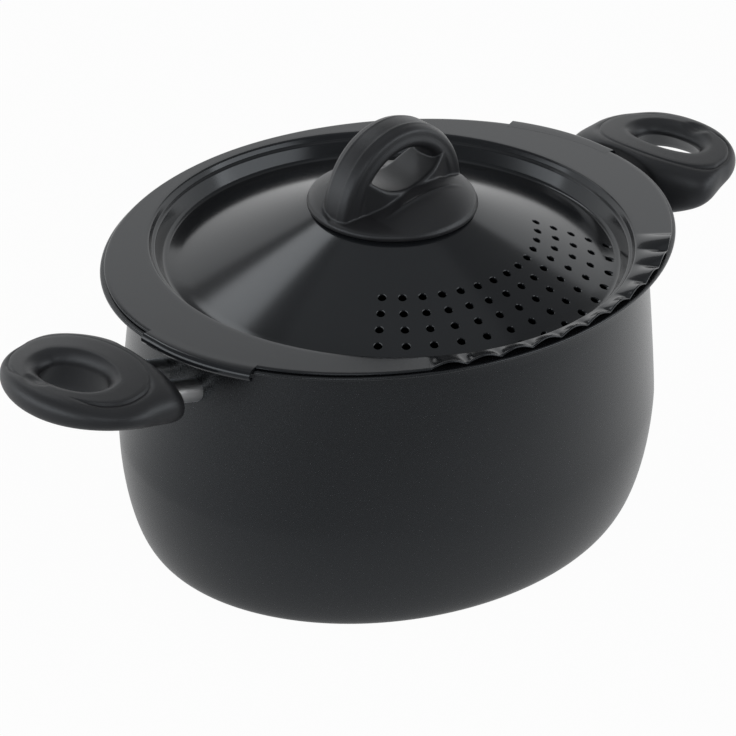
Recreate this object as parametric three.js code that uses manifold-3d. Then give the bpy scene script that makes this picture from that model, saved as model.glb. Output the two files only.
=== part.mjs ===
// Pasta pot with a strainer lid: an oval coated pot, two loop grips on steel ferrules, and a pressed lid
// with a round well, a strainer cone, a waved drain edge, two rolled hooks and a loop knob.
// Millimetres, +Z up, origin at the middle of the base. X runs along the grips and the drain faces -Y.

import * as THREE from "three";
import { mergeVertices } from "three/addons/utils/BufferGeometryUtils.js";
import Module from "manifold-3d";

const wasm = await Module();
wasm.setup();

// Clearances
const seat_gap = 0.3;
const bore_gap = 0.3;
const lid_side_gap = 0.6;
const hook_gap = 0.35;
const stud_head_gap = 1.4;

// Pot
const rim_height = 130;
const rim_power = 1.95;
const rim_thickness = 1.6;
const rim_lip_length = 22;
const rim_lip_width = 3.4;
const wall_thickness = 2.2;
const floor_thickness = 3;
const mouth_half_length = 112;
const mouth_half_width = 108.6;
const mouth_bevel = 0.8;
const belly_height = 51;
const belly_half_length = 126.3;
const belly_half_width = 107.5;
const belly_power = 1.15;
const base_turn_in = 13;
const base_curve_power = 1.8;

// Grips
const grip_reach = 32.2;
const grip_shift = 2.4;
const grip_turn_degrees = 9.6;
const grip_tip_length = 28.9;
const grip_root_length = 26.2;
const grip_half_width = 38.2;
const grip_horn_flare = 9;
const grip_root_bulge = 5;
const grip_bulge_power = 8;
const grip_drop = 1.65;
const grip_crown = 3.3;
const grip_keel = 5.6;
const grip_tilt_degrees = -1.1;
const grip_tip_thickness = 11;
const grip_root_thickness = 27.4;
const grip_root_gap = 8.5;
const grip_root_fall = 1.6;
const grip_root_power = 0.52;
const grip_side_power = 0.81;
const grip_step = 0.9;
const grip_step_width = 1.2;
const plateau_side_share = 0.68;
const plateau_end_share = 0.5;
const nose_level = 0.42;
const nose_power = 2.3;
const heel_root_share = 0.72;
const heel_tip_share = 0.8;
const heel_power = 2.6;
const finger_hole_offset = 3;
const finger_hole_side = -2.7;
const finger_hole_half_length = 9.9;
const finger_hole_half_width = 16;
const finger_hole_power = 2.5;
const hole_foot_offset = 5.6;
const hole_foot_half_length = 12.1;
const hole_foot_half_width = 20;
const hole_foot_edge = 0.12;
const dish_tip_width = 6.5;
const dish_tip_depth = 6;
const dish_tip_power = 1.6;
const dish_root_width = 2.6;
const dish_root_depth = 5;
const dish_root_power = 1.4;
const dish_root_share = 0.42;
const thumb_dip_offset = 18.5;
const thumb_dip_side = -7.5;
const thumb_dip_half_length = 4;
const thumb_dip_half_width = 7;
const thumb_dip_depth = 1.3;

// Grip fixings
const fixing_spacing = 21;
const fixing_wall_drop = 27;
const fixing_rise_degrees = 15;
const ferrule_diameter = 10.4;
const ferrule_wall = 1.4;
const ferrule_socket_depth = 4;
const stud_diameter = 5;
const stud_head_diameter = 12;
const stud_head_thickness = 1.6;
const stud_grip_length = 9;
const insert_wall = 1.2;
const insert_length = 10;

// Lid pan
const sheet = 1;
const flange_inset_length = 2.2;
const flange_inset_width = 1;
const well_depth = 10;
const well_wall_inset = 6.4;
const well_ledge_depth = 2.6;
const well_ledge_inset = 1.9;
const well_ledge_width = 1.4;
const flange_bend = 1;
const cone_rise_degrees = 22.7;
const drain_centre_degrees = -84.6;
const hole_diameter = 3.6;
const hole_rows = 5;
const hole_columns = 14;
const hole_row_pitch = 7.83;
const hole_column_degrees = 7.715;
const hole_groove_margin = 3.4;
const wave_count = 11;
const wave_offset_columns = 0.5;
const wave_height = 2.4;
const wave_inner_share = 0.08;
const hook_start_degrees = 180;
const hook_sweep_degrees = 23.5;
const hook_lock_degrees = 6;
const hook_crown = 0.4;
const hook_drop = 1;

// Knob
const knob_radius = 36.8;
const knob_edge = 2.6;
const knob_edge_gap = 0.5;
const knob_seat_radius = 34;
const knob_dome = 3.2;
const knob_dome_power = 0.6;
const leaf_rise = 9.5;
const leaf_start = 27.6;
const leaf_summit = 9.5;
const leaf_start_reach = 8.8;
const leaf_reach = 12.4;
const leaf_edge = 8;
const leaf_panel_power = 0.75;
const leaf_end_power = 0.6;
const web_rise = 9.2;
const web_sweep = 7.9;
const web_half_length = 18.8;
const web_half_width = 12;
const web_taper = 3.5;
const web_taper_start = 12;
const web_twist = 0.16;
const web_edge_share = 0.15;
const web_end = 25;
const web_steps = 28;
const knob_loop_half_length = 28.2;
const knob_loop_height = 30.7;
const knob_loop_top_thickness = 11;
const knob_loop_foot_thickness = 12;
const knob_loop_top_width = 20;
const knob_loop_foot_width = 17;
const knob_foot_depth = 1.2;
const knob_loop_power = 0.7;
const gasket_thickness = 0.6;
const gasket_inset = 3;
const screw_diameter = 5;
const screw_head_diameter = 10;
const screw_head_height = 3;
const screw_length = 7.5;
const washer_diameter = 18;
const washer_thickness = 1;
const knob_insert_diameter = 9;
const knob_insert_length = 4;

// Facet counts
const pot_segments = 56;
const wave_steps = 4;
const plain_step_degrees = 7;
const grip_segments = 40;
const knob_segments = 56;
const loop_steps = 18;
const loop_section_points = 14;
const round_segments = 20;
const hole_sides = 6;
const hook_steps = 8;

const coated_metal = new THREE.MeshStandardMaterial({ color: 0x2b2d30, roughness: 0.45, metalness: 0.5 });
const lid_coating = new THREE.MeshStandardMaterial({ color: 0x303236, roughness: 0.35, metalness: 0.5 });
const soft_grip = new THREE.MeshStandardMaterial({ color: 0x232428, roughness: 0.7, metalness: 0 });
const polished_steel = new THREE.MeshStandardMaterial({ color: 0xc9ccd0, roughness: 0.15, metalness: 1 });
const plain_brass = new THREE.MeshStandardMaterial({ color: 0xb08d45, roughness: 0.35, metalness: 1 });
const black_rubber = new THREE.MeshStandardMaterial({ color: 0x101010, roughness: 0.85, metalness: 0 });

const radians = THREE.MathUtils.degToRad;
const lerp = THREE.MathUtils.lerp;
const smoothstep = THREE.MathUtils.smoothstep;

// A closed solid from loops of points: poles close the ends, or else the last loop joins the first.
function skin(loops, first_pole, last_pole) {
  const count = loops[0].length;
  const vertices = loops.flat();
  const triangles = [];
  const joins = first_pole ? loops.length - 1 : loops.length;
  for (let i = 0; i < joins; i++) {
    const here = i * count;
    const next = ((i + 1) % loops.length) * count;
    for (let j = 0; j < count; j++) {
      const k = (j + 1) % count;
      triangles.push([here + j, here + k, next + j], [here + k, next + k, next + j]);
    }
  }
  if (first_pole) {
    const start = vertices.push(first_pole) - 1;
    const end = vertices.push(last_pole) - 1;
    const last = (loops.length - 1) * count;
    for (let j = 0; j < count; j++) {
      const k = (j + 1) % count;
      triangles.push([start, k, j], [end, last + j, last + k]);
    }
  }
  return solid(vertices, triangles);
}

function solid(vertices, triangles) {
  const vertProperties = new Float32Array(vertices.flat());
  const triVerts = new Uint32Array(triangles.flat());
  return new wasm.Manifold(new wasm.Mesh({ numProp: 3, vertProperties, triVerts }));
}

function solidOf(geometry) {
  const bare = geometry.clone();
  bare.deleteAttribute("normal");
  bare.deleteAttribute("uv");
  const merged = mergeVertices(bare);
  const vertProperties = merged.attributes.position.array;
  const triVerts = new Uint32Array(merged.index.array);
  return new wasm.Manifold(new wasm.Mesh({ numProp: 3, vertProperties, triVerts }));
}

function mesh(name, made, material) {
  const shape = made.getMesh();
  const geometry = new THREE.BufferGeometry();
  geometry.setAttribute("position", new THREE.BufferAttribute(new Float32Array(shape.vertProperties), 3));
  geometry.setIndex(new THREE.BufferAttribute(new Uint32Array(shape.triVerts), 1));
  geometry.computeVertexNormals();
  const result = new THREE.Mesh(geometry, material);
  result.name = name;
  return result;
}

// A turned piece about Z, from radius and height pairs that run up the outside and close on the axis or
// on themselves.
function turned(profile) {
  const points = profile.map(([radius, height]) => new THREE.Vector2(radius, height));
  return new THREE.LatheGeometry(points, round_segments).rotateX(Math.PI / 2);
}

function ring(inner_radius, outer_radius, low, high) {
  return turned([
    [inner_radius, low],
    [outer_radius, low],
    [outer_radius, high],
    [inner_radius, high],
    [inner_radius, low],
  ]);
}

function rod(radius, low, high) {
  return turned([
    [0, low],
    [radius, low],
    [radius, high],
    [0, high],
  ]);
}

const bent = (value, power) => Math.sign(value) * Math.abs(value) ** power;
const rimRadius = (half_length, half_width, angle) => {
  const along = Math.abs(Math.cos(angle) / half_length) ** rim_power;
  const across = Math.abs(Math.sin(angle) / half_width) ** rim_power;
  return (along + across) ** (-1 / rim_power);
};

function ovalLoop(half_length, half_width, height, power = 2) {
  return Array.from({ length: pot_segments }, (_, i) => {
    const angle = (2 * Math.PI * i) / pot_segments;
    const along = half_length * bent(Math.cos(angle), 2 / power);
    return [along, half_width * bent(Math.sin(angle), 2 / power), height];
  });
}

// Pot: the wall leans out from the mouth to the belly, then turns in along one long curve to the base.
// The flat rim stands out from the mouth by its lip.
const rim_half_length = mouth_half_length + rim_lip_length;
const rim_half_width = mouth_half_width + rim_lip_width;
const rim_underside = rim_height - rim_thickness;
const upper_steps = [0.2, 0.4, 0.6, 0.8, 1];
const lower_turns = [90, 76, 62, 47, 32, 16, 0];

function wallAt(height) {
  const share = Math.max(0, (height - belly_height) / (rim_underside - belly_height)) ** belly_power;
  return {
    half_length: lerp(belly_half_length, mouth_half_length, share),
    half_width: lerp(belly_half_width, mouth_half_width, share),
  };
}

// Loops up the pot's side from its foot to the mouth, moved out by offset (in where it is negative).
function sideLoops(offset, foot_height) {
  const lower = lower_turns.map((turn) => {
    const angle = radians(turn);
    const inward = base_turn_in * (1 - Math.cos(angle) ** (2 / base_curve_power)) - offset;
    const height = lerp(belly_height, foot_height, Math.sin(angle) ** (2 / base_curve_power));
    return ovalLoop(belly_half_length - inward, belly_half_width - inward, height);
  });
  const upper = upper_steps.map((share) => {
    const height = lerp(belly_height, rim_underside, share);
    const wall = wallAt(height);
    return ovalLoop(wall.half_length + offset, wall.half_width + offset, height);
  });
  return [...lower, ...upper];
}

const mouth_inner_length = mouth_half_length - wall_thickness;
const mouth_inner_width = mouth_half_width - wall_thickness;

function potBlank() {
  const inside = sideLoops(-wall_thickness, floor_thickness).slice(0, -1);
  return skin(
    [
      ...sideLoops(0, 0),
      ovalLoop(rim_half_length, rim_half_width, rim_underside, rim_power),
      ovalLoop(rim_half_length, rim_half_width, rim_height, rim_power),
      ovalLoop(mouth_inner_length + mouth_bevel, mouth_inner_width + mouth_bevel, rim_height),
      ovalLoop(mouth_inner_length, mouth_inner_width, rim_height - mouth_bevel),
      ...inside.reverse(),
    ],
    [0, 0, 0],
    [0, 0, floor_thickness],
  );
}

// Fixing line of one grip: from the wall it rises outwards, square across the long axis.
const fixing_height = rim_height - fixing_wall_drop;
const fixing_wall = wallAt(fixing_height);
const fixing_x =
  fixing_wall.half_length * Math.sqrt(1 - (fixing_spacing / 2 / fixing_wall.half_width) ** 2);
const fixing_rise = radians(fixing_rise_degrees);
const grip_centre = rim_half_length + grip_reach;
const root_radius = rim_half_length + grip_root_gap;
const root_distance = (root_radius - fixing_x) / Math.cos(fixing_rise);
const fixing_sides = [-1, 1];

// A piece made about Z from the wall outwards, laid along the fixing line on one side.
function onFixing(geometry, side) {
  const placed = geometry.clone();
  placed.rotateY(Math.PI / 2 - fixing_rise);
  placed.translate(fixing_x, (side * fixing_spacing) / 2, fixing_height);
  return solidOf(placed);
}

const ferrule_radius = ferrule_diameter / 2;
const stud_radius = stud_diameter / 2;
const head_radius = stud_head_diameter / 2;
const insert_radius = stud_radius + bore_gap + insert_wall;
const ferrule_end = root_distance + ferrule_socket_depth - seat_gap;
const insert_start = root_distance + ferrule_socket_depth;
const wall_reach = 2 * ferrule_diameter;

// The pot's outside as a full body, to trim the ferrules where they meet the wall.
const outside_body = skin(sideLoops(seat_gap, -seat_gap), [0, 0, -seat_gap], [0, 0, rim_underside]);

function ferrule(side) {
  const sleeve = ring(ferrule_radius - ferrule_wall, ferrule_radius, -wall_reach, ferrule_end);
  return onFixing(sleeve, side).subtract(outside_body);
}

function stud(side) {
  const tip = root_distance + ferrule_socket_depth + stud_grip_length;
  const seat = -wall_thickness - stud_head_gap;
  const crown = seat - stud_head_thickness;
  const profile = [
    [0, crown],
    [head_radius - stud_head_thickness / 2, crown],
    [head_radius, seat - stud_head_thickness / 2],
    [head_radius, seat],
    [stud_radius, seat],
    [stud_radius, tip],
    [0, tip],
  ];
  return onFixing(turned(profile), side);
}

function insert(side) {
  const sleeve = ring(stud_radius + bore_gap, insert_radius, insert_start, insert_start + insert_length);
  return onFixing(sleeve, side);
}

function pot() {
  const made = [0, Math.PI].map((turn) =>
    fixing_sides.map((side) => {
      const hole = rod(stud_radius + bore_gap, -wall_reach, wall_reach);
      return onFixing(hole, side).rotate([0, 0, THREE.MathUtils.radToDeg(turn)]);
    }),
  );
  return made.flat().reduce((shell, hole) => shell.subtract(hole), potBlank());
}

// Grip: a ring round the finger hole, turned in plan so that its tip stands to one side. It is round at the
// tip and square at the root, crowned on top and keeled below. Each section runs from the throat of the
// hole up its dished edge, over the plateau, round the outside and back under to the foot of the hole.
const grip_tip = grip_centre + grip_tip_length;
const grip_top_height = rim_height - grip_drop;
const grip_tilt = Math.tan(radians(grip_tilt_degrees));
const dish_stations = [1, 0.8, 0.45, 0];
const nose_turns = [30, 60, 90];
const heel_turns = [35, 65, 90];

function gripOutline(angle) {
  const cosine = Math.cos(angle);
  const sine = Math.sin(angle);
  if (cosine >= 0) return [grip_centre + grip_tip_length * cosine, grip_half_width * sine];
  const half_width = grip_half_width - grip_horn_flare * cosine;
  const bulge = grip_root_bulge * cosine ** grip_bulge_power;
  const along = grip_root_length * bent(cosine, grip_root_power) - bulge;
  return [grip_centre + along, half_width * bent(sine, grip_side_power)];
}

function thumbDip(x, y) {
  const along = (x - grip_centre - thumb_dip_offset) / thumb_dip_half_length;
  const across = (y - thumb_dip_side) / thumb_dip_half_width;
  return thumb_dip_depth * (1 - smoothstep(Math.hypot(along, across), 0, 1));
}

function gripTop(x, y) {
  const crown = grip_crown * (y / grip_half_width) ** 2;
  return grip_top_height + (x - grip_centre) * grip_tilt - crown - thumbDip(x, y);
}

function gripUnderside(x, y) {
  const share = (grip_tip - x) / (grip_tip_length + grip_root_length);
  const depth = lerp(grip_tip_thickness, grip_root_thickness, share);
  return grip_top_height - depth + grip_keel * (y / grip_half_width) ** 2;
}

function gripSection(angle) {
  const cosine = Math.cos(angle);
  const sine = Math.sin(angle);
  const tip_share = (1 + cosine) / 2;
  const root_share = 1 - smoothstep(tip_share, 0, dish_root_share);
  const throat = [
    grip_centre + finger_hole_offset + finger_hole_half_length * bent(cosine, 2 / finger_hole_power),
    finger_hole_side + finger_hole_half_width * bent(sine, 2 / finger_hole_power),
  ];
  const foot = [
    grip_centre + hole_foot_offset + hole_foot_half_length * cosine,
    finger_hole_side + hole_foot_half_width * sine,
  ];
  const outer = gripOutline(angle);
  const span = Math.hypot(outer[0] - throat[0], outer[1] - throat[1]);
  const dish_width = lerp(dish_tip_width, dish_root_width, root_share) / span;
  const dish_depth = lerp(dish_tip_depth, dish_root_depth, root_share);
  const dish_power = lerp(dish_tip_power, dish_root_power, root_share);
  const step_width = grip_step_width / span;
  const plateau = lerp(plateau_side_share, plateau_end_share, cosine ** 2);
  const edge = Math.max(plateau, dish_width + step_width);
  const heel_share = lerp(heel_root_share, heel_tip_share, tip_share);
  const at = (share, level, drop) => {
    const x = lerp(throat[0], outer[0], share);
    const y = lerp(throat[1], outer[1], share);
    return [x, y, lerp(gripUnderside(x, y), gripTop(x, y) - drop, level)];
  };
  const dish = dish_stations.map((station) => {
    const fall = 1 - (1 - station ** dish_power) ** (1 / dish_power);
    return at(dish_width * (1 - station), 1, dish_depth * fall);
  });
  const nose = nose_turns.map((turn) => {
    const out = Math.sin(radians(turn)) ** (2 / nose_power);
    const level = lerp(nose_level, 1, Math.cos(radians(turn)) ** (2 / nose_power));
    return at(lerp(edge + step_width, 1, out), level, grip_step + grip_root_fall * root_share * out);
  });
  const heel = heel_turns.map((turn) => {
    const out = Math.cos(radians(turn)) ** (2 / heel_power);
    return at(lerp(heel_share, 1, out), nose_level * (1 - Math.sin(radians(turn)) ** (2 / heel_power)), 0);
  });
  const edge_x = lerp(foot[0], outer[0], hole_foot_edge);
  const edge_y = lerp(foot[1], outer[1], hole_foot_edge);
  return [
    ...dish,
    at((dish_width + edge) / 2, 1, 0),
    at(edge, 1, 0),
    at(edge + step_width, 1, grip_step),
    ...nose,
    ...heel,
    [edge_x, edge_y, gripUnderside(edge_x, edge_y)],
    [foot[0], foot[1], gripUnderside(foot[0], foot[1])],
  ];
}

function grip() {
  const sections = Array.from({ length: grip_segments }, (_, i) =>
    gripSection((2 * Math.PI * i) / grip_segments),
  );
  const loops = sections[0].map((_, level) => sections.map((section) => section[level]));
  const blank = skin(loops.reverse()).translate([-grip_centre, 0, 0]).rotate([0, 0, grip_turn_degrees]);
  const placed = blank.translate([grip_centre, grip_shift, 0]);
  const hollow = rod(root_radius, 0, 2 * rim_height);
  const cuts = fixing_sides.flatMap((side) => [
    onFixing(rod(ferrule_radius + bore_gap, 0, insert_start), side),
    onFixing(rod(insert_radius + bore_gap, 0, insert_start + insert_length + seat_gap), side),
  ]);
  return cuts.reduce((made, cut) => made.subtract(cut), placed.subtract(solidOf(hollow)));
}

// Lid pan: an oval flange, a round well with a small ledge, and a cone that rises to the knob's seat.
const flange_underside = rim_height + seat_gap;
const flange_top = flange_underside + sheet;
const flange_half_length = rim_half_length - flange_inset_length;
const flange_half_width = rim_half_width - flange_inset_width;
const well_radius = Math.min(mouth_inner_length, mouth_inner_width) - lid_side_gap - sheet;
const groove_radius = well_radius - well_wall_inset;
const groove_height = flange_top - well_depth;
const cone_slope = Math.tan(radians(cone_rise_degrees));
const cone_start = groove_radius - 2 * sheet;
const coneHeight = (radius) => groove_height + (cone_start - radius) * cone_slope;
const seat_height = coneHeight(knob_seat_radius);
const screw_hole_radius = screw_diameter / 2 + bore_gap;

// Crests of the drain edge stand on the hole columns, and the valleys rest on the rim.
const wave_start = radians(drain_centre_degrees + wave_offset_columns * hole_column_degrees)
  - radians((wave_count * hole_column_degrees) / 2);
const wave_angle = radians(hole_column_degrees);
const wave_end = wave_start + wave_count * wave_angle;

function waveLift(angle) {
  const turn = 2 * Math.PI;
  const phase = ((((angle - wave_start) % turn) + turn) % turn) / wave_angle;
  return phase > wave_count ? 0 : wave_height * Math.abs(Math.sin(Math.PI * phase));
}

function lidAngles() {
  const fine = Array.from(
    { length: wave_count * wave_steps },
    (_, i) => wave_start + (wave_angle * i) / wave_steps,
  );
  const rest = 2 * Math.PI - (wave_end - wave_start);
  const count = Math.round(rest / radians(plain_step_degrees));
  const plain = Array.from({ length: count }, (_, i) => wave_end + (rest * i) / count);
  return [...fine, ...plain];
}

// The sheet's top face as radius, height and share of the wave, from the flange to the screw hole.
function lidProfile() {
  const ledge = flange_top - well_ledge_depth;
  const ledge_radius = well_radius - well_ledge_inset;
  return [
    [0, flange_top, 1, 1],
    [well_radius + flange_bend, flange_top, wave_inner_share, 0],
    [well_radius + flange_bend * 0.3, flange_top - flange_bend * 0.3, wave_inner_share / 2, 0],
    [well_radius, flange_top - flange_bend, 0, 0],
    [ledge_radius + well_ledge_width / 2, ledge, 0, 0],
    [ledge_radius - well_ledge_width / 2, ledge - sheet / 4, 0, 0],
    [groove_radius, groove_height, 0, 0],
    [cone_start, groove_height, 0, 0],
    [knob_seat_radius, seat_height, 0, 0],
    [screw_hole_radius, seat_height, 0, 0],
  ];
}

// Moves the profile through the sheet's thickness, square to each stretch.
function underProfile(profile) {
  return profile.map(([radius, height, wave, oval], i) => {
    const before = profile[Math.max(i - 1, oval ? 0 : 1)];
    const after = profile[Math.min(i + 1, profile.length - 1)];
    const start = before[3] ? [flange_half_width, before[1]] : before;
    const along = new THREE.Vector2(after[0] - start[0], after[1] - start[1]).normalize();
    if (oval || wave > wave_inner_share / 2 || i === profile.length - 1)
      return [radius, height - sheet, wave, oval];
    return [radius - along.y * sheet, height + along.x * sheet, wave, oval];
  });
}

function lidLoop([radius, height, wave, oval], angles) {
  return angles.map((angle) => {
    const reach = oval ? rimRadius(flange_half_length, flange_half_width, angle) : radius;
    return [reach * Math.cos(angle), reach * Math.sin(angle), height + wave * waveLift(angle)];
  });
}

// Rolled hook: a strip of the flange carried over the rim's edge and curled in below it. It stands off
// the rim by what the rim gains when the lid turns to lock, and its lip stops short of the rim at rest.
// Its outside is one round bead from the lip to the crown.
const bead_shares = [0, 0.2, 0.4, 0.6, 0.8, 1];

function hookSection(angle) {
  const rim = rimRadius(rim_half_length, rim_half_width, angle);
  const locked = rimRadius(rim_half_length, rim_half_width, angle - radians(hook_lock_degrees));
  const stand = Math.max(rim, locked) + hook_gap;
  const root = rimRadius(flange_half_length, flange_half_width, angle) - hook_drop;
  const lip = rim + hook_gap;
  const lip_top = rim_underside - hook_drop;
  const crown = flange_top + hook_crown;
  const bead = (crown - lip_top + sheet) / 2;
  const bead_radius = stand + sheet - bead;
  const bead_start = -Math.acos((lip - bead_radius) / bead);
  const outside = bead_shares.map((share) => {
    const turn = lerp(bead_start, Math.PI / 2, share);
    return [bead_radius + bead * Math.cos(turn), crown - bead + bead * Math.sin(turn)];
  });
  const outline = [
    [root - 2 * sheet, flange_top - sheet / 2],
    [root, flange_underside],
    [stand - sheet / 2, flange_underside],
    [stand, flange_underside - sheet / 2],
    [stand, lip_top + sheet / 4],
    [stand - sheet / 4, lip_top],
    [lip, lip_top],
    ...outside,
    [root + sheet / 2, crown - sheet / 4],
  ];
  return outline.map(([radius, height]) => [radius * Math.cos(angle), radius * Math.sin(angle), height]);
}

function hook(start_degrees) {
  const start = radians(start_degrees);
  const sweep = radians(hook_sweep_degrees);
  const loops = Array.from({ length: hook_steps + 1 }, (_, i) =>
    hookSection(start + (sweep * i) / hook_steps),
  );
  return capped(loops);
}

// A closed solid from open-ended loops, with a flat cut across each end.
function capped(loops) {
  const count = loops[0].length;
  const vertices = loops.flat();
  const triangles = [];
  for (let i = 0; i + 1 < loops.length; i++) {
    for (let j = 0; j < count; j++) {
      const k = (j + 1) % count;
      const here = i * count;
      const next = here + count;
      triangles.push([here + j, next + j, here + k], [here + k, next + j, next + k]);
    }
  }
  const last = (loops.length - 1) * count;
  const flat = loops[0].map(([x, y, z]) => new THREE.Vector2(Math.hypot(x, y), z));
  for (const [a, b, c] of THREE.ShapeUtils.triangulateShape(flat, [])) {
    triangles.push([a, b, c], [last + a, last + c, last + b]);
  }
  return solid(vertices, triangles);
}

function strainerHoles() {
  const holes = [];
  for (let row = 0; row < hole_rows; row++) {
    for (let column = 0; column < hole_columns; column++) {
      const radius = cone_start - hole_groove_margin + sheet - row * hole_row_pitch;
      const turn = drain_centre_degrees + (column - (hole_columns - 1) / 2) * hole_column_degrees;
      const drill = new THREE.CylinderGeometry(hole_diameter / 2, hole_diameter / 2, well_depth, hole_sides);
      drill.rotateX(Math.PI / 2);
      drill.rotateY(radians(cone_rise_degrees));
      drill.translate(radius, 0, coneHeight(radius));
      drill.rotateZ(radians(turn));
      holes.push(solidOf(drill));
    }
  }
  return holes;
}

function lidPan() {
  const angles = lidAngles();
  const top = lidProfile();
  const under = underProfile(top).reverse();
  const loops = [...top, ...under].map((station) => lidLoop(station, angles));
  const hooks = [0, 180].map((turn) => hook(hook_start_degrees + turn));
  const whole = hooks.reduce((made, piece) => made.add(piece), skin(loops));
  return strainerHoles().reduce((made, drill) => made.subtract(drill), whole);
}

// Knob: a low domed base with a leaf panel each side, a web between the feet, and a broad loop along X.
const gasket_low = seat_height + seat_gap;
const gasket_high = gasket_low + gasket_thickness;
const knob_floor = gasket_high + seat_gap;
const knob_edge_low = coneHeight(knob_radius - sheet) + knob_edge_gap;
const knob_edge_top = knob_edge_low + knob_edge;

// The crest of the front leaf at x: it climbs from one foot of the loop to its summit, then turns down
// round the other foot.
function leafCrest(x) {
  const climb = THREE.MathUtils.clamp((x + leaf_start) / (leaf_summit + leaf_start), 0, 1);
  const past = THREE.MathUtils.clamp((x - leaf_summit) / (knob_radius - leaf_summit), 0, 1);
  const rise = Math.sin((climb * Math.PI) / 2) * Math.cos((past * Math.PI) / 2) ** leaf_end_power;
  const reach = lerp(leaf_start_reach, leaf_reach, climb) * Math.sqrt(1 - past ** 3);
  return { rise: leaf_rise * rise, reach };
}

function leafRise(x, y) {
  const crest = leafCrest(x);
  const fall = Math.max(0, 1 - (Math.hypot(x, y) / knob_radius) ** 2);
  const crest_fall = Math.max(0.05, 1 - (Math.hypot(x, crest.reach) / knob_radius) ** 2);
  const panel = crest.rise * Math.min(1, fall / crest_fall) ** leaf_panel_power;
  return panel * smoothstep(-y, crest.reach - leaf_edge, crest.reach);
}

function knobTop(radius, angle) {
  const x = radius * Math.cos(angle);
  const y = radius * Math.sin(angle);
  const dome = knob_dome * Math.max(0, 1 - (radius / knob_radius) ** 2) ** knob_dome_power;
  const rise = Math.max(dome, leafRise(x, y), leafRise(-x, -y));
  return [x, y, knob_edge_top + rise];
}

function knobBase() {
  const angles = Array.from({ length: knob_segments }, (_, i) => (2 * Math.PI * i) / knob_segments);
  const level = (radius, height) =>
    angles.map((angle) => [radius * Math.cos(angle), radius * Math.sin(angle), height]);
  const shares = [1, 0.96, 0.9, 0.82, 0.74, 0.66, 0.58, 0.5, 0.42, 0.34, 0.28, 0.23, 0.17, 0.1];
  const loops = [
    level(knob_seat_radius - sheet, knob_floor),
    level(knob_radius - sheet, knob_edge_low),
    level(knob_radius, knob_edge_low + sheet / 2),
    ...shares.map((share) => angles.map((angle) => knobTop(share * knob_radius, angle))),
  ];
  return skin(loops, [0, 0, knob_floor], knobTop(0, 0));
}

const loop_foot = knob_floor + knob_foot_depth;
const loop_top = knob_edge_top + knob_loop_height;

// The web's top sweeps up to the loop at both ends, and stops at the middle of the loop.
function webTop(x, y) {
  const sweep = web_sweep * ((x - web_twist * y) / web_half_length) ** 2;
  const middle = lerp(loop_foot, loop_top, Math.sqrt(1 - (x / knob_loop_half_length) ** 2));
  return Math.min(knob_edge_top + web_rise + sweep, middle);
}

// Each section across the web has rounded upper edges and a flat foot inside the base.
function knobWeb() {
  const shares = [1, 0.98, 0.93, 1 - web_edge_share, 0.45, 0];
  const across = [...shares, ...shares.slice(0, -1).reverse().map((share) => -share)];
  const loops = Array.from({ length: web_steps + 1 }, (_, i) => {
    const x = lerp(-web_end, web_end, i / web_steps);
    const half_width = web_half_width - web_taper * smoothstep(Math.abs(x), web_taper_start, web_end);
    const upper = across.map((share) => {
      const past = Math.max(0, (Math.abs(share) - 1) / web_edge_share + 1);
      const drop = web_edge_share * half_width * (1 - Math.sqrt(1 - past ** 2));
      return [x, share * half_width, webTop(x, share * half_width) - drop];
    });
    return [...upper, [x, -half_width, loop_foot], [x, half_width, loop_foot]];
  });
  return skin(loops, [-web_end, 0, loop_foot], [web_end, 0, loop_foot]);
}

function knobLoop() {
  const loops = Array.from({ length: loop_steps + 1 }, (_, i) => {
    const angle = Math.PI * (1 - i / loop_steps);
    const up = Math.sin(angle);
    const thickness = lerp(knob_loop_foot_thickness, knob_loop_top_thickness, up) / 2;
    const width = lerp(knob_loop_foot_width, knob_loop_top_width, up) / 2;
    const middle = [knob_loop_half_length * Math.cos(angle), lerp(loop_foot, loop_top, up)];
    return Array.from({ length: loop_section_points }, (_, j) => {
      const around = (2 * Math.PI * j) / loop_section_points;
      const out = thickness * bent(Math.cos(around), knob_loop_power);
      const side = -width * bent(Math.sin(around), knob_loop_power);
      return [middle[0] + out * Math.cos(angle), side, middle[1] + out * Math.sin(angle)];
    });
  });
  const end = (loop) => loop.reduce((sum, p) => sum.map((v, i) => v + p[i] / loop.length), [0, 0, 0]);
  return skin(loops, end(loops[0]), end(loops[loop_steps]));
}

function knob() {
  const pocket = rod(knob_insert_diameter / 2 + bore_gap, knob_floor - sheet, insert_top + seat_gap);
  return knobBase().add(knobWeb()).add(knobLoop()).subtract(solidOf(pocket));
}

// Knob fixing: a screw with a washer from under the lid, into a brass insert in the knob.
const insert_low = knob_floor + seat_gap;
const insert_top = insert_low + knob_insert_length;
const washer_top = seat_height - sheet - seat_gap;
const washer_low = washer_top - washer_thickness;
const screw_seat = washer_low - seat_gap;

function screwProfile() {
  const head = screw_head_diameter / 2;
  const shank = screw_diameter / 2;
  return [
    [0, screw_seat - screw_head_height],
    [head * 0.7, screw_seat - screw_head_height],
    [head, screw_seat - screw_head_height * 0.4],
    [head, screw_seat],
    [shank, screw_seat],
    [shank, screw_seat + screw_length],
    [0, screw_seat + screw_length],
  ];
}

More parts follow.
